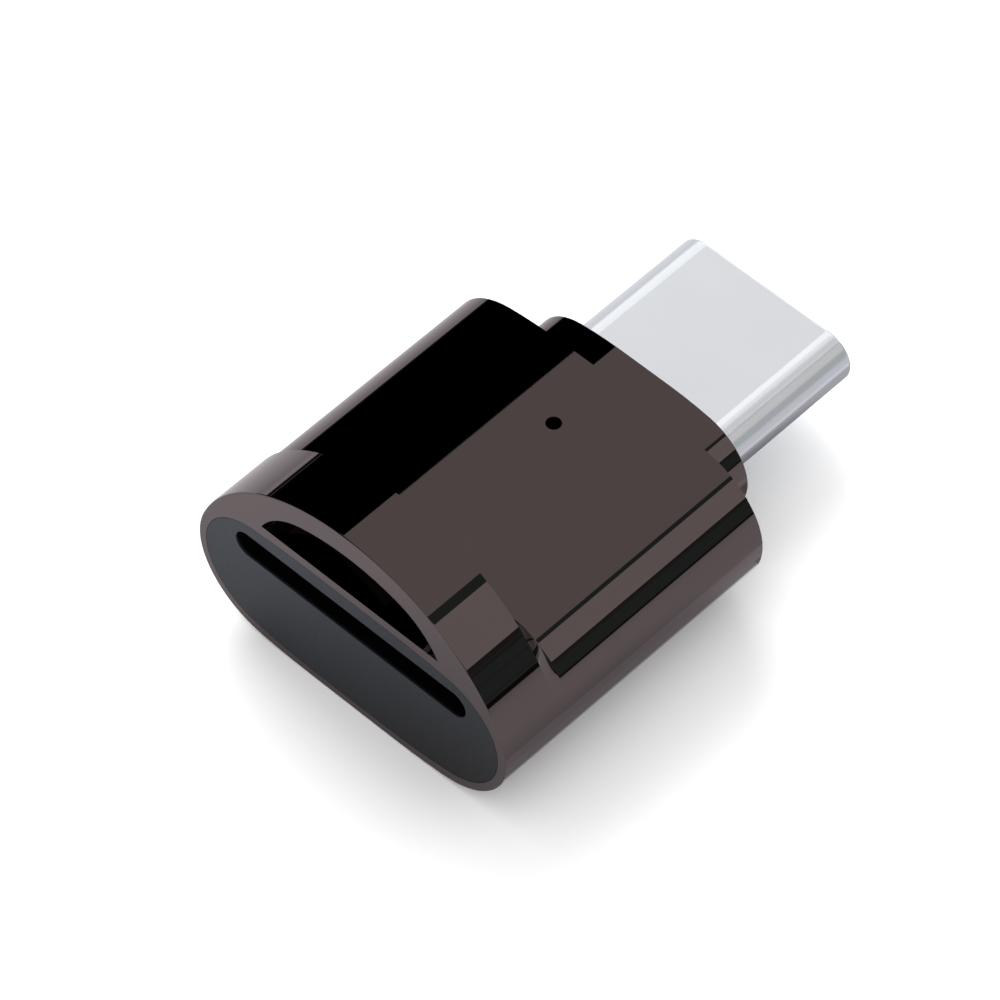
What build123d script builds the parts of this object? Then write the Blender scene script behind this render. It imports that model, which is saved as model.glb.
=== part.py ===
from build123d import *
import os
from math import asin, cos, degrees, radians, sin

os.makedirs("parts", exist_ok=True)

# Frame: X across the width, Y from the card end to the plug tip, Z up.
# The origin is the middle of the outer box's bottom. Sizes are in millimetres and degrees.

# Memory card that goes in
card_width = 11.0
card_thickness = 0.70
card_play = 0.05

# Lengths along Y, counted from the card end
housing_length = 15.17
plug_exposed = 6.65
collar_depth = 2.63
neck_length = 1.92
neck_wall = 0.80
overall_length = housing_length + plug_exposed
body_depth = housing_length - neck_length
front_y = -overall_length / 2

# Outline shared by collar and body below the widest line
side_room = 2.00
half_width = card_width / 2 + side_room
widest_height = 3.44
base_crown_radius = 22.5
base_crown_degrees = 6.7

# Body above the widest line: a nearly flat roof between crowned shoulders
body_top = 6.77
roof_degrees = 1.865
body_crown_radius = 13.9
body_crown_degrees = 9.6

# Arch of the collar, and the concave flare behind it
arch_drop = 1.27
arch_spread = 0.17
arch_degrees = 68.8
arch_radius = half_width + arch_spread
collar_top = widest_height + half_width - arch_drop
flare_radius = 0.61
flare_root = 0.40
flare_reach = 1.50
flare_foot = widest_height + 0.45
edge_round = 0.07

# Strap eye under the arch
arch_thickness = 1.03
eye_step = 0.14
eye_top = collar_top - arch_thickness
eye_floor = body_top - eye_step
eye_crown_radius = 8.0
eye_crown_degrees = 17.0
eye_shoulder_radius = 3.2

# Plug tube
plug_height = 3.17
plug_width = 8.25
plug_thickness = 2.40
plug_wall = 0.20
plug_tip_round = 0.17
plug_grip = 3.17
plug_fit = 0.05
plug_rear = housing_length - plug_grip

# Neck around the plug
neck_side_wall = 0.965
neck_roof_wall = 1.24
neck_half_width = plug_width / 2 + neck_side_wall
neck_top = plug_height + plug_thickness / 2 + neck_roof_wall
neck_bottom = 2 * plug_height - neck_top
neck_crown_radius = 12.7
neck_crown_degrees = 9.0

# Insert that closes the card end, and its seat
insert_thickness = 1.20
insert_half_width = half_width - 0.36
insert_top = body_top - 0.56
insert_bottom = 0.41
insert_mid = widest_height - 0.02
insert_top_crown_radius = 26.0
insert_top_crown_degrees = 5.9
insert_low_crown_radius = 18.9
insert_low_crown_degrees = 9.4
insert_fit = 0.02
seat_shoulder = 0.15

# Card slot
slot_side_play = 0.10
slot_width = card_width + 2 * slot_side_play
slot_height = 1.22
slot_centre = 4.89
slot_lead = 0.08

# Light hole in the body's roof
light_hole_setback = 2.88
light_hole_distance = body_depth - light_hole_setback
light_hole_diameter = 0.60
light_hole_lead = 0.05
light_hole_depth = 1.20

# Circuit board, level with the middle of the plug, and the rails that hold it
board_thickness = 0.80
board_side_gap = 0.64
board_half_width = half_width - board_side_gap
board_front = 1.30
board_corner_round = 0.80
board_play = 0.04
rail_width = 0.92
rail_height = 0.60
rail_inner = half_width - seat_shoulder - rail_width
board_bottom = plug_height - board_thickness / 2
board_top = plug_height + board_thickness / 2

# Plug contacts: tail on the board, straight run, sprung beam and raised touch point
inner_fit = 0.02
contact_pitch = 0.50
contact_places = 12
contact_width = 0.24
contact_thickness = 0.12
contact_tail = 0.95
contact_lift = 0.16
touch_rise = 0.13
touch_length = 0.30
beam_bend = 1.60
tip_bend = 0.55
contact_line = board_thickness / 2 + contact_thickness / 2

# Plastic blocks inside the plug
bore_width = plug_width - 2 * plug_wall - 2 * inner_fit
bore_height = plug_thickness - 2 * plug_wall - 2 * inner_fit
nose_recess = 0.20
nose_front = overall_length - nose_recess
nose_rear = housing_length + 0.43
mouth_width = 6.90
mouth_height = 1.00
mouth_depth = 5.20
mouth_round = 0.30
groove_side_play = 0.03
groove_depth = 0.34
groove_end = 0.50
contact_end = 0.75
contact_gap = 0.01

# Latch plate between the contact rows
latch_thickness = 0.24
latch_play = 0.03
latch_wall_bite = 0.33
latch_arm_width = 0.30
latch_hook = 0.32
latch_slope = 0.60
latch_start = 0.60
latch_end = 0.90
latch_half_width = mouth_width / 2 + latch_wall_bite

# Ground springs between nose and tube
spring_thickness = 0.08
spring_half_width = 2.90
spring_length = 1.60
spring_front = 0.40
spring_frame = 0.30
tongue_pitch = 2.00
tongue_width = 0.60
tongue_gap = 0.12

# Card socket: moulded tray and sheet cover
socket_front = board_front + 0.05
socket_back = light_hole_distance - 0.52
socket_wall = 0.20
socket_back_wall = 0.60
cover_thickness = 0.12
cover_gap = 0.01
cover_foot_height = 0.70
cover_foot_length = 1.30
cover_bridge = 1.20
window_x = 3.40
window_width = 1.20
window_length = 2.80
leaf_gap = 0.18
leaf_root = 0.30
channel_half = card_width / 2 + card_play
channel_floor = slot_centre - card_thickness / 2 - card_play
channel_roof = slot_centre + card_thickness / 2 + card_play
channel_lead = 0.25
socket_half = channel_half + socket_wall

# Spring contacts of the card socket
card_contact_pitch = 1.10
card_contact_count = 8
card_contact_width = 0.55
card_contact_thickness = 0.12
card_contact_foot = 1.60
card_contact_slope = 1.20
card_contact_reach = 4.00
card_contact_rise = 0.22
card_contact_dip = 0.05
foot_overhang = 0.05
tray_groove_length = 4.20
tray_bar_front = 1.20
tray_bar_back = 0.70

# Blade that the card's corner pushes
sense_blade_inset = 0.45
sense_blade_half = 0.25
sense_blade_foot = 0.95
sense_blade_play = 0.05
sense_blade_x = channel_half - sense_blade_inset

# Chips under the board: front row, side row and rear row, as distances from the card end
front_row = board_front + 0.90
chip_row = board_front + 1.60
rear_row = plug_rear - 2.40
row_pitch = 2.20
side_row_pitch = 1.80
chip_side = 4.40
chip_left = -3.40
side_row_x = chip_left - 1.80
front_row_x = chip_left + 0.80
rear_row_x = chip_left - 0.90
chip_height = 0.85
chip_round = 0.12
dot_inset = 0.60
dot_radius = 0.22
dot_depth = 0.05
crystal_left = chip_left + chip_side + 1.20
crystal_size = (2.50, 2.00)
crystal_height = 0.75
crystal_round = 0.35
crystal_rim = 0.08
crystal_rim_height = 0.20
crystal_side_x = rail_inner - 0.73
regulator_size = (2.90, 1.60)
regulator_left = 2.30
regulator_row = rear_row - 1.20
regulator_height = 1.15
regulator_lift = 0.10
regulator_slope = 0.12
leg_width = 0.40
leg_reach = 0.55
leg_root = 0.20
leg_thickness = 0.15
leg_pitch = 0.95
chip_part_length = 1.00
chip_part_width = 0.50
capacitor_height = 0.50
resistor_height = 0.35

# Lamp on the board under the light hole
lamp_length = 0.80
lamp_base_width = 1.60
lamp_base_height = 0.20
lamp_lens_width = 1.00
lamp_lens_height = 0.35
lamp_lens_round = 0.15

# How far a cut runs past the face that it opens
overcut = 0.20


# Plane across the reader at a distance from the card end, seen from that end
def section(distance):
    return Plane(origin=(0, front_y + distance, 0), x_dir=(1, 0, 0), z_dir=(0, -1, 0))


# Plane along the reader, so that local x runs along Y and local y runs up
def side_plane():
    return Plane(origin=(0, front_y, 0), x_dir=(0, 1, 0), z_dir=(1, 0, 0))


# Flat outline carried along Y between two distances from the card end
def prism(outline, start, end):
    return extrude(section(end) * outline, amount=end - start)


# Side view carried to both sides of the middle plane
def side_slab(outline, half):
    return extrude(side_plane() * outline, amount=half, both=True)


# Box from its limits, with y counted from the card end
def block(x_limits, y_limits, z_limits):
    size = [high - low for low, high in (x_limits, y_limits, z_limits)]
    middle = [(high + low) / 2 for low, high in (x_limits, y_limits, z_limits)]
    return Pos(middle[0], front_y + middle[1], middle[2]) * Box(*size)


# Limits to both sides of a middle
def around(middle, half):
    return (middle - half, middle + half)


# One shape and its mirror image across the middle plane
def both_sides(shape):
    return shape + mirror(shape, about=Plane.YZ)


# The same shape on the other side of the plug's middle height
def other_row(shape):
    return mirror(shape, about=Plane.XY.offset(plug_height))


# Edges of a solid that lie in one plane across the reader
def edges_at(solid, distance):
    return solid.edges().filter_by_position(Axis.Y, front_y + distance - 0.001, front_y + distance + 0.001)


# Corner and crown arcs of an outline's right side, and its whole roof, above a middle line at height 0.
# The roof is flat, or a shallow arc where it turns through roof_turn.
def crowned_quarter(half, rise, radius, turn, roof_turn=0):
    start, end = radians(roof_turn), radians(turn)
    share = (1 - sin(end)) / cos(end)
    room = half - radius * (sin(end) - sin(start)) - share * (rise - radius * (cos(start) - cos(end)))
    if roof_turn:
        roof_radius = room / (sin(start) - share * (1 - cos(start)))
        roof_end, drop = roof_radius * sin(start), roof_radius * (1 - cos(start))
        roof = CenterArc((0, rise - roof_radius), roof_radius, 90 - roof_turn, 2 * roof_turn)
    else:
        roof_end, drop = room, 0
        roof = Line((-room, rise), (room, rise))
    corner = (rise - drop - radius * (cos(start) - cos(end))) / cos(end)
    corner_arc = CenterArc((half - corner, 0), corner, 0, 90 - turn)
    crown_middle = (roof_end - radius * sin(start), rise - drop - radius * cos(start))
    crown_arc = CenterArc(crown_middle, radius, 90 - turn, turn - roof_turn)
    return Curve() + [corner_arc, crown_arc], Curve() + [roof]


# Closed outline, symmetric across the middle plane, from an upper and a lower crown
def crowned_outline(half, mid, top, bottom, top_crown, low_crown):
    upper_side, upper_roof = crowned_quarter(half, top - mid, *top_crown)
    lower_side, lower_roof = crowned_quarter(half, mid - bottom, *low_crown)
    right = upper_side + mirror(lower_side, about=Plane.XZ)
    whole = right + mirror(right, about=Plane.YZ) + upper_roof + mirror(lower_roof, about=Plane.XZ)
    return Pos(0, mid) * make_face(whole.edges())


def body_outline():
    return crowned_outline(
        half_width, widest_height, body_top, 0,
        (body_crown_radius, body_crown_degrees, roof_degrees), (base_crown_radius, base_crown_degrees))


def collar_outline():
    return crowned_outline(
        half_width, widest_height, collar_top, 0,
        (arch_radius, arch_degrees), (base_crown_radius, base_crown_degrees))


def neck_outline():
    crown = (neck_crown_radius, neck_crown_degrees)
    return crowned_outline(neck_half_width, plug_height, neck_top, neck_bottom, crown, crown)


def insert_outline():
    return crowned_outline(
        insert_half_width, insert_mid, insert_top, insert_bottom,
        (insert_top_crown_radius, insert_top_crown_degrees),
        (insert_low_crown_radius, insert_low_crown_degrees))


# Long slot with round ends, centred on the middle plane
def stadium(width, height, z):
    return Pos(0, z) * SlotOverall(width, height)


# Half-moon: a low crown between two tighter shoulders, closed by a straight floor
def half_moon(floor):
    turn = radians(eye_crown_degrees)
    shoulder_x = (eye_crown_radius - eye_shoulder_radius) * sin(turn)
    shoulder_z = eye_top - eye_crown_radius + (eye_crown_radius - eye_shoulder_radius) * cos(turn)
    tip_degrees = degrees(asin((floor - shoulder_z) / eye_shoulder_radius))
    tip_x = shoulder_x + eye_shoulder_radius * cos(radians(tip_degrees))
    crown = CenterArc(
        (0, eye_top - eye_crown_radius), eye_crown_radius, 90 - eye_crown_degrees, 2 * eye_crown_degrees)
    shoulder = Curve() + [CenterArc(
        (shoulder_x, shoulder_z), eye_shoulder_radius, tip_degrees, 90 - eye_crown_degrees - tip_degrees)]
    whole = shoulder + mirror(shoulder, about=Plane.YZ) + [crown, Line((-tip_x, floor), (tip_x, floor))]
    return make_face(whole.edges())


# Through eye whose floor climbs to the level of the body's roof
def strap_eye():
    reach = collar_depth + flare_radius + overcut
    opening = prism(half_moon(eye_floor - 2 * eye_step), -overcut, reach)
    under_floor = make_face(Polyline(
        (-overcut, 0), (-overcut, eye_floor), (0, eye_floor), (collar_depth, body_top),
        (reach, body_top), (reach, 0), close=True).edges())
    return opening - side_slab(under_floor, half_width)


# Concave sweep from the body's shoulders up to the back of the collar, kept inside the arch
def collar_flare():
    start, end = collar_depth - flare_root, collar_depth + flare_reach
    flange = offset(body_outline(), amount=2.5 * flare_radius)
    stepped = prism(flange, start, collar_depth) + prism(body_outline(), start, end)
    inner_edges = [edge for edge in edges_at(stepped, collar_depth)
                   if edge.bounding_box().max.X < half_width + flare_radius
                   and edge.bounding_box().min.X > -half_width - flare_radius
                   and edge.bounding_box().max.Z < body_top + flare_radius
                   and edge.bounding_box().min.Z > -flare_radius]
    stepped = fillet(inner_edges, flare_radius)
    upper = block(around(0, 2 * half_width), (start, end), (flare_foot, collar_top))
    return stepped & upper & prism(collar_outline(), start, end)


# Hollow for board and socket, with two pairs of rails left standing along its sides
def board_hollow():
    hollow = prism(offset(insert_outline(), amount=-seat_shoulder), 0, body_depth - neck_wall)
    for low in (board_bottom - rail_height, board_top + board_play):
        rail = block((rail_inner, half_width), (insert_thickness, body_depth), (low, low + rail_height))
        hollow -= both_sides(rail)
    return hollow


# Round hole through the roof with a small lead
def light_hole():
    radius = light_hole_diameter / 2
    place = Pos(0, front_y + light_hole_distance, body_top)
    bore = place * Cylinder(radius, 2 * light_hole_depth)
    return bore + place * Pos(0, 0, -light_hole_lead / 2) * Cone(
        radius, radius + light_hole_lead, light_hole_lead)


# One-piece shell: collar with strap eye, body and neck
def housing_shell():
    shell = prism(collar_outline(), 0, collar_depth) + prism(body_outline(), 0, body_depth)
    shell += prism(neck_outline(), body_depth - neck_wall, housing_length)
    shell = shell.clean()
    shell = fillet(edges_at(shell, housing_length), edge_round)
    shell = fillet(edges_at(shell, 0), edge_round)
    shell += collar_flare()
    shell -= strap_eye()
    shell -= prism(insert_outline(), -overcut, insert_thickness)
    shell -= board_hollow()
    tube_passage = stadium(plug_width + 2 * plug_fit, plug_thickness + 2 * plug_fit, plug_height)
    shell -= prism(tube_passage, body_depth - neck_wall - overcut, housing_length + overcut)
    return shell - light_hole()


# Grey plate that closes the card end
def front_insert():
    plate = prism(offset(insert_outline(), amount=-insert_fit), 0, insert_thickness)
    plate -= prism(stadium(slot_width, slot_height, slot_centre), -overcut, insert_thickness + overcut)
    slot_rim = [edge for edge in edges_at(plate, insert_thickness)
                if abs(edge.center().X) < slot_width / 2
                and abs(edge.center().Z - slot_centre) < slot_height]
    return chamfer(slot_rim, slot_lead)


# Board with rounded far corners
def circuit_board():
    length = plug_rear - inner_fit - board_front
    outline = Pos(0, front_y + board_front + length / 2) * Rectangle(2 * board_half_width, length)
    outline = fillet(outline.vertices().group_by(Axis.Y)[-1], board_corner_round)
    return extrude(Pos(0, 0, board_bottom) * outline, amount=board_thickness)


# Drawn tube of the plug, rounded in at the tip
def plug_shell():
    outer = prism(stadium(plug_width, plug_thickness, plug_height), plug_rear, overall_length)
    outer = fillet(edges_at(outer, overall_length), plug_tip_round)
    bore = stadium(plug_width - 2 * plug_wall, plug_thickness - 2 * plug_wall, plug_height)
    return outer - prism(bore, plug_rear - overcut, overall_length + overcut)


# Places of the contacts across the plug
def contact_positions(skipped=()):
    middle = (contact_places - 1) / 2
    return [(place - middle) * contact_pitch for place in range(contact_places) if place not in skipped]


# Nose that lines the tip of the plug and holds the contact beams apart
def plug_front_insulator():
    nose = prism(stadium(bore_width, bore_height, plug_height), nose_rear, nose_front)
    mouth = Pos(0, plug_height) * RectangleRounded(mouth_width, mouth_height, mouth_round)
    nose -= prism(mouth, nose_front - mouth_depth, nose_front + overcut)
    groove_half = contact_width / 2 + groove_side_play
    groove_reach = (nose_rear - overcut, nose_front - groove_end)
    groove_height = around(plug_height, mouth_height / 2 + groove_depth)
    for x in contact_positions():
        nose -= block(around(x, groove_half), groove_reach, groove_height)
    arm_window = block(
        (mouth_width / 2 - latch_play, latch_half_width + 2 * latch_play),
        (nose_rear - overcut, nose_front - latch_end + overcut),
        around(plug_height, latch_thickness / 2 + latch_play))
    nose -= both_sides(arm_window)
    bed_back = nose_front - spring_front - spring_length
    spring_bed = block(
        around(0, spring_half_width + latch_play), (bed_back - 0.05, nose_front - spring_front + 0.05),
        (plug_height + bore_height / 2 - spring_thickness, plug_height + bore_height / 2 + overcut))
    return nose - spring_bed - other_row(spring_bed)


# Rear block that carries both contact rows and the latch plate
def plug_rear_insulator():
    rear = prism(stadium(bore_width, bore_height, plug_height), plug_rear, nose_rear - inner_fit)
    reach = (plug_rear - overcut, nose_rear + overcut)
    contact_half = contact_thickness / 2 + contact_gap
    groove_half = contact_width / 2 + groove_side_play
    for x in contact_positions():
        for z in (plug_height - contact_line, plug_height + contact_line):
            rear -= block(around(x, groove_half), reach, around(z, contact_half))
    plate_slot = block(
        around(0, latch_half_width + latch_play), (plug_rear + latch_start - 0.1, nose_rear + overcut),
        around(plug_height, latch_thickness / 2 + contact_gap))
    return rear - plate_slot


# Middle line of a plug contact seen from the side
def contact_profile():
    back, tip = plug_rear - contact_tail, nose_front - contact_end
    lifted, touch_line = contact_line + contact_lift, mouth_height / 2 - touch_rise
    touch_end = tip - 1.5 * touch_length
    touch_start = touch_end - touch_length
    path = Polyline(
        (back, contact_line), (nose_rear, contact_line), (nose_rear + beam_bend, lifted),
        (touch_start - tip_bend, lifted), (touch_start, touch_line), (touch_end, touch_line), (tip, lifted))
    return trace(path, line_width=contact_thickness)


# Row of plug contacts above or below the board
def contact_row(side, skipped=()):
    beam = side_slab(Pos(0, plug_height) * contact_profile(), contact_width / 2)
    if side < 0:
        beam = other_row(beam)
    return Compound(children=[Pos(x, 0, 0) * beam for x in contact_positions(skipped)])


# Flat plate between the rows, whose two arms hook the socket's tongue
def plug_latch_plate():
    start = plug_rear + latch_start
    outer, inner = latch_half_width, latch_half_width - latch_arm_width
    arm_end = nose_front - latch_end
    web_end = nose_rear - latch_slope
    hook = inner - latch_hook
    outline = Polyline(
        (0, start), (outer - latch_slope, start), (outer, start + latch_slope),
        (outer, arm_end - latch_arm_width), (outer - latch_arm_width / 2, arm_end),
        (inner - latch_arm_width / 3, arm_end), (hook, arm_end - 0.75 * latch_slope),
        (hook, arm_end - latch_slope), (inner, arm_end - 2 * latch_slope),
        (inner, web_end + latch_arm_width), (inner - latch_slope, web_end), (0, web_end), close=True)
    place = Pos(0, front_y, plug_height - latch_thickness / 2)
    return both_sides(extrude(place * make_face(outline.edges()), amount=latch_thickness))


# Thin ground spring between nose and tube, with three tongues cut free on three sides
def plug_ground_spring(side):
    front = nose_front - spring_front
    back = front - spring_length
    top = plug_height + bore_height / 2
    spring = block(around(0, spring_half_width), (back, front), (top - spring_thickness, top))
    tongue_back = back + spring_frame
    for x in (-tongue_pitch, 0, tongue_pitch):
        spring -= block(around(x, tongue_width / 2 + tongue_gap), (tongue_back, front - spring_frame),
                        around(top, overcut))
        spring += block(around(x, tongue_width / 2), (tongue_back, front - spring_frame - 1.5 * tongue_gap),
                        (top - spring_thickness, top))
    if side < 0:
        spring = other_row(spring)
    return spring


# Places of the card contacts across the socket
def card_contact_positions():
    middle = (card_contact_count - 1) / 2
    return [(place - middle) * card_contact_pitch for place in range(card_contact_count)]


# Moulded tray of the card socket: channel, contact grooves with a bar over each foot, and the blade's notch
def card_socket_base():
    tray = block(around(0, socket_half), (socket_front, socket_back), (board_top, channel_roof))
    tray -= block(around(0, channel_half), (socket_front - overcut, socket_back - socket_back_wall),
                  (channel_floor, channel_roof + overcut))
    groove_half = card_contact_width / 2 + card_play
    foot_top = board_top + card_contact_thickness
    for x in card_contact_positions():
        tray -= block(around(x, groove_half), (socket_back - tray_groove_length, socket_back + overcut),
                      (board_top - overcut, channel_floor + contact_gap))
        tray += block(around(x, groove_half + contact_gap),
                      (socket_back - tray_bar_front, socket_back - tray_bar_back),
                      (foot_top + contact_gap, channel_floor))
    blade_side = around(sense_blade_x, sense_blade_half + sense_blade_play)
    blade_back = socket_back - sense_blade_foot
    tray -= block(blade_side, (blade_back - sense_blade_play, socket_back + overcut),
                  (board_top - overcut, foot_top + sense_blade_play))
    upright = (blade_back - sense_blade_play, blade_back + card_contact_thickness + sense_blade_play)
    tray -= block(blade_side, upright, (board_top - overcut, channel_roof + overcut))
    before, over = socket_front - overcut, channel_floor + overcut
    lead = make_face(Polyline(
        (before, channel_floor - channel_lead), (before, over), (socket_front + 2 * channel_lead, over),
        (socket_front + channel_lead, channel_floor), close=True).edges())
    return tray - side_slab(lead, channel_half)


# Middle line of a card contact seen from the side: foot behind the tray, rise and sprung finger
def card_contact_profile():
    foot_line = board_top + card_contact_thickness / 2
    finger_top = channel_floor + card_contact_rise
    rise_start = socket_back - card_contact_foot - 0.4
    rise_end = rise_start - card_contact_slope
    path = Polyline(
        (socket_back + foot_overhang, foot_line), (socket_back - card_contact_foot, foot_line),
        (rise_start, foot_line + 0.1), (rise_end, finger_top), (rise_end - 0.4, finger_top),
        (socket_back - card_contact_reach, channel_floor - card_contact_dip))
    return trace(path, line_width=card_contact_thickness)


def card_contacts():
    finger = side_slab(card_contact_profile(), card_contact_width / 2)
    return Compound(children=[Pos(x, 0, 0) * finger for x in card_contact_positions()])


# Folded cover of the card socket: roof, two sides, six feet and two sprung leaves
def card_socket_cover():
    inner_half = socket_half + cover_gap
    outer_half = inner_half + cover_thickness
    roof_low = channel_roof + cover_gap
    roof_high = roof_low + cover_thickness
    cover = block(around(0, outer_half), (socket_front, socket_back), (board_top, roof_high))
    cover -= block(around(0, inner_half), (socket_front - overcut, socket_back + overcut),
                   (board_top - overcut, roof_low))
    folds = cover.edges().filter_by(Axis.Y).group_by(Axis.Z)[-1]
    cover = fillet(folds, 0.9 * cover_thickness)
    middle = (socket_front + socket_back) / 2
    for reach in ((socket_front + cover_foot_length, middle - cover_bridge / 2),
                  (middle + cover_bridge / 2, socket_back - cover_foot_length)):
        cover -= block(around(0, outer_half + overcut), reach,
                       (board_top - overcut, board_top + cover_foot_height))
    window_back = socket_back - cover_foot_length - 0.5
    window_front = window_back - window_length
    for x in (-window_x, window_x):
        cover -= block(around(x, window_width / 2), (window_front, window_back), around(roof_low, overcut))
        cover += block(around(x, window_width / 2 - leaf_gap), (window_front + leaf_root, window_back),
                       (roof_low, roof_high))
    return cover


# Blade beside the channel: a foot on the board and an upright in the card's way
def card_sense_blade():
    side = around(sense_blade_x, sense_blade_half)
    back = socket_back - sense_blade_foot
    foot = block(side, (back, socket_back + foot_overhang), (board_top, board_top + card_contact_thickness))
    return foot + block(side, (back, back + card_contact_thickness), (board_top, slot_centre))


# Flat controller under the board, with a moulded dot at its first corner
def controller_chip():
    low = board_bottom - chip_height
    chip = block((chip_left, chip_left + chip_side), (chip_row, chip_row + chip_side), (low, board_bottom))
    chip = fillet(chip.edges().filter_by(Axis.Z), chip_round)
    dot = Pos(chip_left + dot_inset, front_y + chip_row + dot_inset, low)
    return chip - dot * Cylinder(dot_radius, 2 * dot_depth)


# Clock crystal: a round-cornered can on a wider rim
def clock_crystal():
    across = (crystal_left, crystal_left + crystal_size[0])
    along = (chip_row, chip_row + crystal_size[1])
    can = block(across, along, (board_bottom - crystal_height, board_bottom))
    can = fillet(can.edges().filter_by(Axis.Z), crystal_round)
    rim = block((across[0] - crystal_rim, across[1] + crystal_rim),
                (along[0] - crystal_rim, along[1] + crystal_rim),
                (board_bottom - crystal_rim_height, board_bottom))
    return can + fillet(rim.edges().filter_by(Axis.Z), crystal_round - crystal_rim)


# Small regulator with three legs on one side and two on the other
def voltage_regulator():
    across = (regulator_left, regulator_left + regulator_size[0])
    half_depth = regulator_size[1] / 2
    middle = sum(across) / 2
    body = block(across, around(regulator_row, half_depth),
                 (board_bottom - regulator_height, board_bottom - regulator_lift))
    body = chamfer(body.edges().filter_by(Axis.X), regulator_slope)
    leg_middle = half_depth + (leg_reach - leg_root) / 2
    for place, side in ((-1, 1), (0, 1), (1, 1), (-1, -1), (1, -1)):
        body += block(around(middle + place * leg_pitch, leg_width / 2),
                      around(regulator_row + side * leg_middle, (leg_reach + leg_root) / 2),
                      (board_bottom - leg_thickness, board_bottom))
    return body


# Small chip part under the board, lying across the reader or along it
def chip_part(x, distance, across, height):
    size = (chip_part_length, chip_part_width) if across else (chip_part_width, chip_part_length)
    return block(around(x, size[0] / 2), around(distance, size[1] / 2),
                 (board_bottom - height, board_bottom))


def capacitors():
    places = [(side_row_x, chip_row + (step + 0.5) * side_row_pitch, False) for step in range(3)]
    places.append((crystal_side_x, chip_row + side_row_pitch, False))
    places += [(rear_row_x + step * row_pitch, rear_row, True) for step in (1, 2)]
    return Compound(children=[chip_part(*place, capacitor_height) for place in places])


def resistors():
    places = [(front_row_x + step * row_pitch, front_row, True) for step in range(3)]
    places.append((rear_row_x, rear_row, True))
    return Compound(children=[chip_part(*place, resistor_height) for place in places])


# Lamp under the light hole: a base with a round-shouldered lens on it
def indicator_lamp():
    along = around(light_hole_distance, lamp_length / 2)
    base_top = board_top + lamp_base_height
    base = block(around(0, lamp_base_width / 2), along, (board_top, base_top))
    lens = block(around(0, lamp_lens_width / 2), along, (base_top, base_top + lamp_lens_height))
    return base + fillet(lens.edges().filter_by(Axis.Y).group_by(Axis.Z)[-1], lamp_lens_round)


pieces = {
    "housing_shell": housing_shell,
    "front_insert": front_insert,
    "circuit_board": circuit_board,
    "plug_shell": plug_shell,
    "plug_front_insulator": plug_front_insulator,
    "plug_rear_insulator": plug_rear_insulator,
    "plug_upper_contacts": lambda: contact_row(1),
    "plug_lower_contacts": lambda: contact_row(-1, (5, 6)),
    "plug_latch_plate": plug_latch_plate,
    "plug_upper_ground_spring": lambda: plug_ground_spring(1),
    "plug_lower_ground_spring": lambda: plug_ground_spring(-1),
    "card_socket_base": card_socket_base,
    "card_socket_cover": card_socket_cover,
    "card_contacts": card_contacts,
    "card_sense_blade": card_sense_blade,
    "controller_chip": controller_chip,
    "clock_crystal": clock_crystal,
    "voltage_regulator": voltage_regulator,
    "capacitors": capacitors,
    "resistors": resistors,
    "indicator_lamp": indicator_lamp,
}

for name, build in pieces.items():
    export_step(build(), f"parts/{name}.step")
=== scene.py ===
import bmesh
import bpy
from math import atan2, cos, degrees, hypot, pi, radians, sin, tan
from mathutils import Matrix, Vector


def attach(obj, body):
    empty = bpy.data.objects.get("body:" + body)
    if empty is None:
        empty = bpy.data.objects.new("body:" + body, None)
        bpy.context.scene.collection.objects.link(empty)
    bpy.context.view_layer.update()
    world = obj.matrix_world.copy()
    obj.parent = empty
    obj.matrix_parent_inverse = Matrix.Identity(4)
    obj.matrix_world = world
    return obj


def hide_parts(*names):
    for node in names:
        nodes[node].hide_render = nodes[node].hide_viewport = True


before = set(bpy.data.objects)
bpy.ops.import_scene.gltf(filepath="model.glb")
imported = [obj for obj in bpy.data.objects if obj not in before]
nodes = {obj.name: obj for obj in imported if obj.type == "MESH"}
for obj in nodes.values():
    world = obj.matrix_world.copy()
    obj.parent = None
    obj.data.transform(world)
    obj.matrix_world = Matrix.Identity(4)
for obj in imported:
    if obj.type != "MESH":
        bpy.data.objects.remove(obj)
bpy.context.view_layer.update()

MM = 0.001

# Place of the camera: it looks down on the reader from the card end's right
view_target = Vector((-0.98, -2.25, 3.03)) * MM
view_distance = 250 * MM
view_azimuth = radians(-46.70)
view_elevation = radians(51.945)
view_roll = radians(0.277)
view_focal = 252.0

# Share of the sight line that runs along the reader
sight_along = -sin(view_azimuth) * cos(view_elevation)

# Sizes of the sleeve: each outline has a middle height, and arcs above and below it
half_width, widest_height, body_top, collar_top = 7.50 * MM, 3.44 * MM, 6.77 * MM, 9.67 * MM
neck_half_width, neck_half_height, plug_height = 5.09 * MM, 2.44 * MM, 3.17 * MM
front_y, collar_depth, body_depth = -10.91 * MM, 2.63 * MM, 13.25 * MM

# Radius and turn, in degrees, of the arc beside each outline's roof, and the turn that the roof itself has
base_arc = (22.5 * MM, 6.7)
collar_arc = (7.67 * MM, 68.8)
body_arc = (13.9 * MM, 9.6, 1.865)
neck_arc = (12.7 * MM, 9.0)

# The flare from collar to body: its radius, how much it bends, the lowest step between the two outlines, and the step
# from which it keeps the CAD's hollow
flare_radius, flare_bend, least_step, high_step = 0.61 * MM, 0.88, 0.003 * MM, 1.6 * MM

# How the flare is laid: marks on the faces that are kept and on those laid anew, rounds of cutting and of turning
# edges, the longest edge left, and how far from an outline a corner may lie to be drawn onto it
kept_face, laid_face, flare_rounds = 1, 2, 3
longest_flare_edge, rim_reach = 0.12 * MM, 0.03 * MM

# The light hole, with the tiny lead round its mouth
light_hole_distance, light_hole_radius = 10.37 * MM, 0.325 * MM
hole_lead, hole_lead_depth = 0.06 * MM, 0.045 * MM

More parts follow.
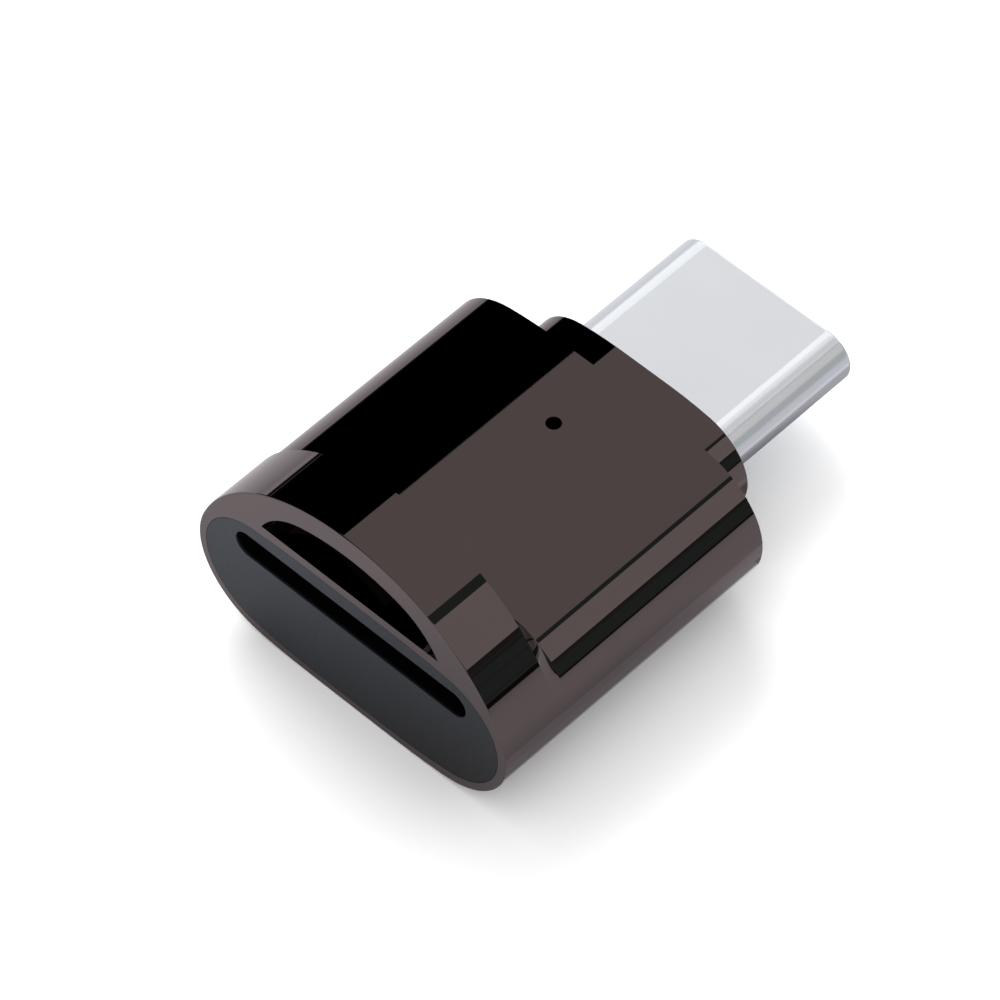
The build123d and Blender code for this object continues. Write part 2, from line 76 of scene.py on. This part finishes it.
# Distances taken as nothing: between corners of the CAD's mesh, between corners of the flare, and from a corner to the
# true curve that it lies on
same_place, tiny, skin_tolerance = 0.0005 * MM, 0.001 * MM, 0.004 * MM

# Angle from which an edge is sharp, the widest one between a face and the true curve under it, the slack in degrees at
# an arc's ends, and the share of a face's direction along the reader from which it is an end face
sharp_turn, skin_turn, arc_slack, end_share = radians(28), radians(24), 0.01, 0.9999

# Middle height of the insert's face, about which its painted light turns, and the depths between which the slot's walls
# turn black with painted shade
insert_middle, slot_shade = 3.2 * MM, (0.01 * MM, 0.12 * MM)

# Reach of the table, height of the cards over it and the distance in which one fades, all three in millimetres
table_reach, card_height, card_fade = 1500, 0.02, 60

# What the surround gives to plain surfaces, and what shows of it behind the reader
plain_light, white = (0.95, 0.95, 0.95, 1.0), (1.0, 1.0, 1.0, 1.0)


# A number or colour that a shader node gives, with arithmetic that adds the nodes it needs
class Reading:
    def __init__(self, finish, socket):
        self.finish, self.socket = finish, socket

    def _math(self, operation, other, swapped=False):
        values = (other, self) if swapped else (self, other)
        return self.finish.node("ShaderNodeMath", {"operation": operation}, dict(enumerate(values)))

    def __add__(self, other): return self._math("ADD", other)
    def __radd__(self, other): return self._math("ADD", other, True)
    def __sub__(self, other): return self._math("SUBTRACT", other)
    def __rsub__(self, other): return self._math("SUBTRACT", other, True)
    def __mul__(self, other): return self._math("MULTIPLY", other)
    def __rmul__(self, other): return self._math("MULTIPLY", other, True)
    def __truediv__(self, other): return self._math("DIVIDE", other)
    def __rtruediv__(self, other): return self._math("DIVIDE", other, True)


# A node tree with one call for every kind of node
class Finish:
    def __init__(self, tree):
        self.tree = tree

    def node(self, kind, settings=None, inputs=None, output=0):
        made = self.tree.nodes.new(kind)
        for key, value in (settings or {}).items():
            if key == "stops":
                self._stops(made.color_ramp, value)
            else:
                setattr(made, key, value)
        for key, value in (inputs or {}).items():
            socket = made.inputs[key]
            if isinstance(value, Reading):
                self.tree.links.new(value.socket, socket)
            else:
                socket.default_value = value
        return Reading(self, made.outputs[output]) if len(made.outputs) else None

    def _stops(self, ramp, stops):
        while len(ramp.elements) > 1:
            ramp.elements.remove(ramp.elements[-1])
        for index, (place, colour) in enumerate(stops):
            element = ramp.elements[0] if index == 0 else ramp.elements.new(place)
            element.position = place
            element.color = (*colour, 1.0)

    def part(self, reading, name):
        return Reading(self, reading.socket.node.outputs[name])

    # Noise over the object's own coordinates, with its grain size in millimetres
    def noise(self, grain, detail=3.0, stretch=(1, 1, 1)):
        place = self.node("ShaderNodeTexCoord", output="Object")
        scale = tuple(share / (grain * MM) for share in stretch)
        scaled = self.node("ShaderNodeMapping", {}, {"Vector": place, "Scale": scale})
        return self.node("ShaderNodeTexNoise", {}, {"Vector": scaled, "Scale": 1.0, "Detail": detail})

    def blend(self, amount, low, high):
        return self.node("ShaderNodeMix", {"data_type": "RGBA"}, {0: amount, 6: (*low, 1.0), 7: (*high, 1.0)}, output=2)

    def bump(self, height, strength, depth):
        return self.node("ShaderNodeBump", {}, {"Height": height, "Strength": strength, "Distance": depth * MM})


# A new surface material: colour, roughness and bump readings go in by name, plain numbers too
def surface(name, build):
    material = bpy.data.materials.new(name)
    material.use_nodes = True
    material.node_tree.nodes.clear()
    finish = Finish(material.node_tree)
    shader = finish.node("ShaderNodeBsdfPrincipled", {}, build(finish))
    finish.node("ShaderNodeOutputMaterial", {}, {"Surface": shader})
    return material


def polished_gunmetal(f):
    cloud = f.noise(4.0)
    haze = f.noise(0.9, 4.0)
    return {"Base Color": f.blend(cloud, (0.158, 0.128, 0.126), (0.170, 0.138, 0.135)), "Metallic": 1.0,
            "Roughness": 0.010 + haze * 0.008}


# A little lighter toward the top left of the face, which is painted light, and black inside the slot, which is painted
# shade
def slate_plastic(f):
    grain = f.noise(0.06, 2.0)
    cloud = f.noise(2.5)
    place = f.node("ShaderNodeSeparateXYZ", {}, {"Vector": f.node("ShaderNodeTexCoord", output="Object")})
    # Painted shade: the slot's walls turn black from just behind the face, as the slot is in shade
    inside = f.node("ShaderNodeMapRange", {}, {"Value": f.part(place, "Y"), "From Min": front_y + slot_shade[0],
                                               "From Max": front_y + slot_shade[1]})
    # Painted light: the face's colour is lighter toward its top left and darker toward its bottom right, with a little
    # random tone on top
    painted_light_tilt = ((f.part(place, "Z") - insert_middle) * 0.10 - f.part(place, "X") * 0.045) / MM
    painted_light_and_tone = 0.5 + painted_light_tilt + (cloud - 0.5) * 0.1
    face = f.blend(painted_light_and_tone, (0.0055, 0.0059, 0.0059), (0.027, 0.034, 0.044))
    # The face's colour, with its painted light, goes over to black painted shade inside the slot
    return {"Base Color": f.node("ShaderNodeMix", {"data_type": "RGBA"},
                                 {0: inside, 6: face, 7: (0.0012, 0.0012, 0.0015, 1.0)}, output=2),
            "Roughness": 0.24 + grain * 0.10, "Specular IOR Level": 0.20,
            "Normal": f.bump(grain, 0.15, 0.003)}


def satin_nickel(f):
    drawn = f.noise(0.05, 3.0, (1.0, 0.03, 1.0))
    cloud = f.noise(1.8)
    return {"Base Color": f.blend(cloud, (0.825, 0.855, 0.895), (0.865, 0.895, 0.935)), "Metallic": 1.0,
            "Roughness": 0.17 + drawn * 0.05, "Normal": f.bump(drawn, 0.01, 0.002)}


def moulded_black(f):
    grain = f.noise(0.08, 2.0)
    return {"Base Color": f.blend(grain, (0.012, 0.012, 0.013), (0.022, 0.022, 0.024)), "Roughness": 0.5 + grain * 0.15,
            "Normal": f.bump(grain, 0.3, 0.003)}


def gold_plate(f):
    wear = f.noise(0.25, 3.0)
    return {"Base Color": f.blend(wear, (0.83, 0.60, 0.25), (0.92, 0.72, 0.36)), "Metallic": 1.0,
            "Roughness": 0.2 + wear * 0.12}


def spring_sheet(f):
    rolled = f.noise(0.06, 3.0, (1.0, 0.05, 1.0))
    return {"Base Color": f.blend(rolled, (0.60, 0.61, 0.63), (0.70, 0.71, 0.73)), "Metallic": 1.0,
            "Roughness": 0.24 + rolled * 0.14, "Normal": f.bump(rolled, 0.08, 0.002)}


def green_laminate(f):
    weave = f.noise(0.3, 2.0)
    return {"Base Color": f.blend(weave, (0.010, 0.085, 0.035), (0.020, 0.13, 0.055)), "Roughness": 0.28 + weave * 0.1,
            "Coat Weight": 0.4, "Normal": f.bump(weave, 0.1, 0.004)}


def tan_ceramic(f):
    speck = f.noise(0.12, 4.0)
    return {"Base Color": f.blend(speck, (0.36, 0.25, 0.15), (0.50, 0.38, 0.25)), "Roughness": 0.55 + speck * 0.2}


def lamp_resin(f):
    cloud = f.noise(0.3)
    return {"Base Color": f.blend(cloud, (0.70, 0.72, 0.62), (0.85, 0.86, 0.78)), "Roughness": 0.15 + cloud * 0.1,
            "Specular IOR Level": 0.6}


finishes = {
    polished_gunmetal: ["housing_shell"],
    slate_plastic: ["front_insert"],
    satin_nickel: ["plug_shell"],
    moulded_black: ["plug_front_insulator", "plug_rear_insulator", "card_socket_base", "controller_chip",
                    "voltage_regulator", "resistors"],
    gold_plate: ["plug_upper_contacts", "plug_lower_contacts", "card_contacts", "card_sense_blade"],
    spring_sheet: ["plug_latch_plate", "plug_upper_ground_spring", "plug_lower_ground_spring", "card_socket_cover",
                   "clock_crystal"],
    green_laminate: ["circuit_board"],
    tan_ceramic: ["capacitors"],
    lamp_resin: ["indicator_lamp"],
}


def dress():
    for build, names in finishes.items():
        material = surface(build.__name__, build)
        for name in names:
            mesh = nodes[name].data
            mesh.materials.clear()
            mesh.materials.append(material)


# One side of an outline above a middle line at height 0, as arcs: middle x, middle z, radius, first and last angle.
# A flat roof is an arc with no radius, which holds for every point nearer to the middle than its x.
def side_arcs(half, rise, radius, turn, roof_turn=0):
    start, end = radians(roof_turn), radians(turn)
    share = (1 - sin(end)) / cos(end)
    room = half - radius * (sin(end) - sin(start)) - share * (rise - radius * (cos(start) - cos(end)))
    if roof_turn:
        roof_radius = room / (sin(start) - share * (1 - cos(start)))
        roof_end, drop = roof_radius * sin(start), roof_radius * (1 - cos(start))
        roof = (0, rise - roof_radius, roof_radius, 90 - roof_turn, 90)
    else:
        roof_end, drop = room, 0
        roof = (room, rise, 0, 90, 90)
    corner = (rise - drop - radius * (cos(start) - cos(end))) / cos(end)
    crown = (roof_end - radius * sin(start), rise - drop - radius * cos(start), radius, 90 - turn, 90 - roof_turn)
    return [(half - corner, 0, corner, 0, 90 - turn), crown, roof]


# Direction that the outline faces at a point, and how far the point stands off it
def outline_facing(outline, x, z):
    middle_height, upper, lower = outline
    above = z >= middle_height
    across, rise = abs(x), abs(z - middle_height)
    best = None
    for mid_x, mid_z, radius, first, last in (upper if above else lower):
        if radius:
            turn = degrees(atan2(rise - mid_z, across - mid_x))
            facing = Vector((across - mid_x, rise - mid_z)).normalized()
            off = hypot(across - mid_x, rise - mid_z) - radius
            inside = first - arc_slack <= turn <= last + arc_slack or (first == 0 and turn < 0)
        else:
            facing, off, inside = Vector((0, 1)), rise - mid_z, across <= mid_x
        if inside and (best is None or abs(off) < abs(best[1])):
            best = (facing, off)
    facing, off = best
    return Vector((facing.x if x >= 0 else -facing.x, facing.y if above else -facing.y)), off


# How far the collar's outline stands off the body's at a point between the two
def step_height(x, z):
    return max(outline_facing(body_outline, x, z)[1] - outline_facing(collar_outline, x, z)[1], least_step)


# How far behind the collar's back edge the flare's surface lies at a point between the two outlines: nearly
# straight from outline to outline where they are close together, and a hollow curve where the collar stands high
def flare_setback(x, z):
    over_body, step = outline_facing(body_outline, x, z)[1], step_height(x, z)
    straight = flare_radius * (1 - (min(max(over_body, 0), step) / step) ** flare_bend)
    depth = min(max(over_body, 0), flare_radius)
    hollow = flare_radius - (2 * flare_radius * depth - depth ** 2) ** 0.5
    share = min(max(2 * step / high_step - 1, 0), 1)
    return share * hollow + (1 - share) * straight


# Whether a face of the CAD sleeve lies on the flare, its hollow part or the collar's flat back
def on_flare(face):
    heights = [vert.co.z for vert in face.verts]
    if min(heights) < widest_height or max(heights) - min(heights) < same_place:
        return False
    for vert in face.verts:
        along = vert.co.y - front_y - collar_depth
        over_body = outline_facing(body_outline, vert.co.x, vert.co.z)[1]
        hollow = abs(hypot(flare_radius - along, flare_radius - over_body) - flare_radius) < skin_tolerance
        flat_back = abs(along) < tiny and over_body > flare_radius - skin_tolerance
        if not -tiny < along < flare_radius + tiny or not (hollow or flat_back):
            return False
    return True


# Direction that the flare faces at a point
def flare_facing(point):
    near = 2 * tiny
    slope_x = (flare_setback(point.x + near, point.z) - flare_setback(point.x - near, point.z)) / (2 * near)
    slope_z = (flare_setback(point.x, point.z + near) - flare_setback(point.x, point.z - near)) / (2 * near)
    over_body = outline_facing(body_outline, point.x, point.z)[1]
    under_collar = -outline_facing(collar_outline, point.x, point.z)[1]
    if over_body < near < under_collar:
        return skin_facing(point, body_outline)
    widening = 2 if under_collar < near / 2 else 1
    return Vector((-slope_x * widening, 1, -slope_z * widening)).normalized()


# The flare's faces at its sides cut finer and laid on the flare's own curve. The ones where the collar stands high
# keep the CAD's hollow, and get only the mark.
def shape_flare(work):
    mark = work.faces.layers.int.new("flare")
    for face in work.faces:
        if on_flare(face):
            low = min(step_height(vert.co.x, vert.co.z) for vert in face.verts) < high_step
            face[mark] = laid_face if low else kept_face
    for _ in range(flare_rounds):
        laid_edges = [edge for edge in work.edges if any(face[mark] == laid_face for face in edge.link_faces)]
        long_edges = [edge for edge in laid_edges if edge.calc_length() > longest_flare_edge]
        bmesh.ops.subdivide_edges(work, edges=long_edges, cuts=1, use_grid_fill=True)
        bmesh.ops.triangulate(work, faces=[face for face in work.faces if len(face.verts) > 3])
    shaped = [vert for vert in work.verts if any(face[mark] == laid_face for face in vert.link_faces)]
    for vert in shaped:
        beside = [face.calc_center_median().y - front_y - collar_depth for face in vert.link_faces if not face[mark]]
        outline = None
        if beside and min(beside) < 0:
            outline = collar_outline
        elif beside and max(beside) > flare_radius:
            outline = body_outline
        if outline:
            facing, off = outline_facing(outline, vert.co.x, vert.co.z)
            if abs(off) < rim_reach:
                vert.co.x -= facing.x * off
                vert.co.z -= facing.y * off
        vert.co.y = front_y + collar_depth + min(max(flare_setback(vert.co.x, vert.co.z), 0), flare_radius)
    bmesh.ops.remove_doubles(work, verts=work.verts, dist=tiny)
    for _ in range(flare_rounds):
        laid = [face for face in work.faces if face[mark] == laid_face]
        inner = [edge for edge in work.edges if all(face[mark] == laid_face for face in edge.link_faces)]
        bmesh.ops.beautify_fill(work, faces=laid, edges=inner, method="ANGLE")


# Direction that the polished skin faces at a point, or nothing where the point isn't on the skin
def skin_facing(point, outline):
    facing, off = outline_facing(outline, point.x, point.z)
    if abs(off) < skin_tolerance:
        return Vector((facing.x, 0, facing.y))
    return None


# Whether a place lies on the tiny lead of the light hole, which is polished over with the roof
def on_hole_lead(place):
    reach = hypot(place.x, place.y - front_y - light_hole_distance)
    return abs(reach - light_hole_radius) < hole_lead and place.z > body_top - hole_lead_depth


# The sleeve with its facets merged, and every corner on the polished skin facing as the true curve does
def polished_sleeve():
    mesh = nodes["housing_shell"].data.copy()
    mesh.name = "polished_sleeve"
    work = bmesh.new()
    work.from_mesh(mesh)
    bmesh.ops.remove_doubles(work, verts=work.verts, dist=same_place)
    shape_flare(work)
    work.to_mesh(mesh)
    work.free()
    if "custom_normal" in mesh.attributes:
        mesh.attributes.remove(mesh.attributes["custom_normal"])
    mesh.shade_smooth()
    mesh.set_sharp_from_angle(angle=sharp_turn)
    facings = [corner.vector.copy() for corner in mesh.corner_normals]
    flare_marks = mesh.attributes["flare"].data
    for face in mesh.polygons:
        flat = face.normal
        along = face.center.y - front_y
        outline = collar_outline if along < collar_depth else body_outline if along < body_depth else neck_outline
        in_flare = flare_marks[face.index].value > 0
        for corner in face.loop_indices:
            point = mesh.vertices[mesh.loops[corner].vertex_index].co
            if abs(flat.y) > end_share and not in_flare:
                facings[corner] = flat.copy()
                continue
            if on_hole_lead(face.center):
                facing, _ = outline_facing(body_outline, point.x, point.z)
                facings[corner] = Vector((facing.x, 0, facing.y))
                continue
            found = flare_facing(point) if in_flare else skin_facing(point, outline)
            if found is not None and found.dot(flat) > cos(skin_turn):
                facings[corner] = found
    mesh.normals_split_custom_set(facings)
    piece = bpy.data.objects.new("polished_sleeve", mesh)
    bpy.context.scene.collection.objects.link(piece)
    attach(piece, "root")
    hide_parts("housing_shell")


# Table under the reader: pale, keeping the shadow, and whiter to the rays that show it than to the light it sheds
def lay_table():
    mesh = bpy.data.meshes.new("table")
    half = table_reach * MM
    mesh.from_pydata([(-half, -half, 0), (half, -half, 0), (half, half, 0), (-half, half, 0)], [], [(0, 1, 2, 3)])
    table = bpy.data.objects.new("table", mesh)
    bpy.context.scene.collection.objects.link(table)

    def white_table(f):
        cloud = f.noise(60.0)
        path = f.node("ShaderNodeLightPath")
        shown = f.part(path, "Is Camera Ray") + f.part(path, "Is Glossy Ray") + f.part(path, "Is Transmission Ray")
        paper = f.blend(cloud, (0.93, 0.93, 0.93), (0.95, 0.95, 0.95))
        bright = f.blend(cloud, (1.135, 1.135, 1.135), (1.159, 1.159, 1.159))
        return {"Base Color": f.node("ShaderNodeMix", {"data_type": "RGBA"}, {0: shown, 6: paper, 7: bright}, output=2),
                "Roughness": 0.9 + cloud * 0.05, "Specular IOR Level": 0.0}
    mesh.materials.append(surface("white_table", white_table))


# Tints of what the metal sees
warm, cool, rosy = (1.0, 0.965, 0.955), (0.96, 1.28, 1.20), (1.0, 0.965, 1.02)

# Cards on the table round the reader, in millimetres: left, right, front and back limits, then the grey near the reader
# and the grey that it has faded to 60 mm further left. Their greys are painted shade: the metal sees the table darker
# than it is
cards = {
    "plug_card": (2.0, 8.2, 3.6, table_reach, 0.317, 0.317),
    "near_side_card": (7.2, 8.2, -table_reach, 3.6, 0.488, 0.488),
    "side_card": (8.2, 10.5, -table_reach, table_reach, 0.561, 0.561),
    "dark_card": (10.5, table_reach, -table_reach, table_reach, 0.439, 0.439),
    "front_card": (-table_reach, 7.2, -table_reach, -10.95, 0.525, 0.525),
    "left_card": (-table_reach, -7.0, -10.95, table_reach, 0.598, 0.403),
}


# Card on the table that only glossy surfaces see, its grey a painted shade in the metal's reflections
def lay_card(name, left, right, front, back, grey, far_grey):
    mesh = bpy.data.meshes.new(name)
    corners = [(left, front), (right, front), (right, back), (left, back)]
    mesh.from_pydata([(x * MM, y * MM, card_height * MM) for x, y in corners], [], [(0, 1, 2, 3)])
    card = bpy.data.objects.new(name, mesh)
    bpy.context.scene.collection.objects.link(card)
    card.visible_camera = False
    card.visible_diffuse = False
    card.visible_shadow = False

    def card_painted_shade(f):
        cloud = f.noise(30.0)
        place = f.node("ShaderNodeSeparateXYZ", {}, {"Vector": f.node("ShaderNodeTexCoord", output="Object")})
        far = f.node("ShaderNodeMapRange", {}, {"Value": f.part(place, "X"), "From Min": right * MM,
                                                "From Max": (right - card_fade) * MM})
        # Painted shade, seen only in reflections: the card's grey, fading across it
        shade = f.blend(far, tuple(grey * share for share in rosy), tuple(far_grey * share for share in rosy))
        return {"Base Color": f.node("ShaderNodeMix", {"data_type": "RGBA", "blend_type": "MULTIPLY"}, {
                    0: 0.06, 6: shade, 7: f.blend(cloud, (0.5, 0.5, 0.5), (1, 1, 1))}, output=2),
                "Roughness": 0.9 + cloud * 0.05, "Specular IOR Level": 0.0}
    mesh.materials.append(surface(name, card_painted_shade))


# What polished metal sees round the reader, by angle about the reader's length: 0 is overhead, minus is to the left.
# Each band has its first angle, its brightness and its tint.
bands = [(-180, 0.0, warm), (-89.1, 0.10, warm), (-88.0, 0.0, warm), (-86.9, 0.06, warm), (-85.8, 0.0, warm),
         (-31.4, 0.43, warm), (28.2, 0.066, cool), (33.8, 0.585, warm), (64.6, 0.055, warm),
         (66.4, 0.058, cool), (68.2, 0.046, cool), (69.6, 0.070, cool), (75.4, 0.061, cool), (76.6, 0.071, cool),
         (83.2, 0.062, cool), (84.6, 0.074, cool), (86.2, 0.018, warm), (88.8, 0.43, warm), (180, 0.43, warm)]


def surround():
    world = bpy.data.worlds.new("studio")
    bpy.context.scene.world = world
    world.use_nodes = True
    world.node_tree.nodes.clear()
    f = Finish(world.node_tree)
    ray = f.node("ShaderNodeTexCoord", output="Generated")
    parts = f.node("ShaderNodeSeparateXYZ", {}, {"Vector": ray})
    turn = f.node("ShaderNodeMath", {"operation": "ARCTAN2"}, {0: f.part(parts, "X"), 1: f.part(parts, "Z")})
    place = turn / radians(360) + 0.5
    stops = [((angle + 180) / 360, tuple(level * share for share in tint)) for angle, level, tint in bands]
    ramp = f.node("ShaderNodeValToRGB", {"stops": stops}, {"Fac": place})
    ramp.socket.node.color_ramp.interpolation = "CONSTANT"
    path = f.node("ShaderNodeLightPath")
    glossy = f.part(path, "Is Glossy Ray")
    seen = f.node("ShaderNodeMix", {"data_type": "RGBA"}, {0: glossy, 6: plain_light, 7: ramp}, output=2)
    straight = f.part(path, "Is Camera Ray") + f.part(path, "Is Transmission Ray")
    shown = f.node("ShaderNodeMix", {"data_type": "RGBA"}, {0: straight, 6: seen, 7: white}, output=2)
    background = f.node("ShaderNodeBackground", {}, {"Color": shown, "Strength": 1.0})
    f.node("ShaderNodeOutputWorld", {}, {"Surface": background})


# Soft light panel that faces the reader and doesn't show in the metal
def light_panel(name, azimuth, elevation, distance, width, height, power):
    lamp = bpy.data.lights.new(name, "AREA")
    lamp.shape = "RECTANGLE"
    lamp.size, lamp.size_y = width, height
    lamp.energy = power
    panel = bpy.data.objects.new(name, lamp)
    bpy.context.scene.collection.objects.link(panel)
    toward = Vector((cos(azimuth) * cos(elevation), sin(azimuth) * cos(elevation), sin(elevation)))
    panel.location = toward * distance
    panel.rotation_euler = toward.to_track_quat("Z", "Y").to_euler()
    panel.visible_glossy = False
    panel.visible_camera = False


# Panels over the plug from left to right, as first angle, last angle and brightness
plug_panels = [
    ("plug_panel_a", -96, -66, 0.66),
    ("plug_panel_b", -66, -40, 1.04),
    ("plug_panel_c", -40, -31.4, 0.82),
    ("plug_panel_d", -31.4, -19, 0.36),
    ("plug_panel_e", -19, -7, 0.66),
    ("plug_panel_f", -7, 8, 0.42),
    ("plug_panel_g", 8, 28, 0.20),
    ("plug_panel_h", 28, 33.8, 0.50),
    ("plug_panel_i", 64.6, 90, 0.32),
]


# Soft panel that only some pieces see, between two angles about the reader's length
def plug_panel(name, start, end, level, seen_by):
    distance, length, middle = 0.30, 0.50, radians((start + end) / 2)
    sight_across = (1 - sight_along ** 2) ** 0.5
    across = Vector((cos(middle), 0, -sin(middle)))
    outward = Vector((sin(middle), 0, cos(middle))) * sight_across + Vector((0, sight_along, 0))
    lamp = bpy.data.lights.new(name, "AREA")
    lamp.shape = "RECTANGLE"
    lamp.size, lamp.size_y = 2 * distance * sight_across * tan(radians((end - start) / 2)), length
    lamp.energy = level * pi * lamp.size * lamp.size_y
    panel = bpy.data.objects.new(name, lamp)
    bpy.context.scene.collection.objects.link(panel)
    panel.matrix_world = Matrix((across, outward.cross(across), outward)).transposed().to_4x4()
    panel.matrix_world.translation = outward * distance
    panel.visible_camera = False
    panel.light_linking.receiver_collection = seen_by


def light_studio():
    light_panel("key_panel", azimuth=radians(153), elevation=radians(37), distance=0.40, width=0.30, height=0.30,
                power=1.23)
    plug_only = bpy.data.collections.new("plug_only")
    plug_only.objects.link(nodes["plug_shell"])
    for name, start, end, level in plug_panels:
        plug_panel(name, start, end, level, plug_only)


def set_camera():
    level_share = cos(view_elevation)
    back = Vector((cos(view_azimuth) * level_share, sin(view_azimuth) * level_share, sin(view_elevation)))
    right = Vector((0, 0, 1)).cross(back).normalized()
    up = back.cross(right)
    turned_right = right * cos(view_roll) + up * sin(view_roll)
    turned_up = up * cos(view_roll) - right * sin(view_roll)
    lens = bpy.data.cameras.new("photo_camera")
    lens.lens, lens.sensor_width = view_focal, 36.0
    lens.clip_start, lens.clip_end = 0.01, 10.0
    camera = bpy.data.objects.new("photo_camera", lens)
    bpy.context.scene.collection.objects.link(camera)
    matrix = Matrix((turned_right, turned_up, back)).transposed().to_4x4()
    matrix.translation = view_target + back * view_distance
    camera.matrix_world = matrix
    bpy.context.scene.camera = camera


bpy.context.scene.view_settings.view_transform = "Standard"
base_arcs = side_arcs(half_width, widest_height, *base_arc)
collar_outline = (widest_height, side_arcs(half_width, collar_top - widest_height, *collar_arc), base_arcs)
body_outline = (widest_height, side_arcs(half_width, body_top - widest_height, *body_arc), base_arcs)
neck_arcs = side_arcs(neck_half_width, neck_half_height, *neck_arc)
neck_outline = (plug_height, neck_arcs, neck_arcs)
dress()
polished_sleeve()
lay_table()
for name, limits_and_greys in cards.items():
    lay_card(name, *limits_and_greys)
surround()
light_studio()
set_camera()
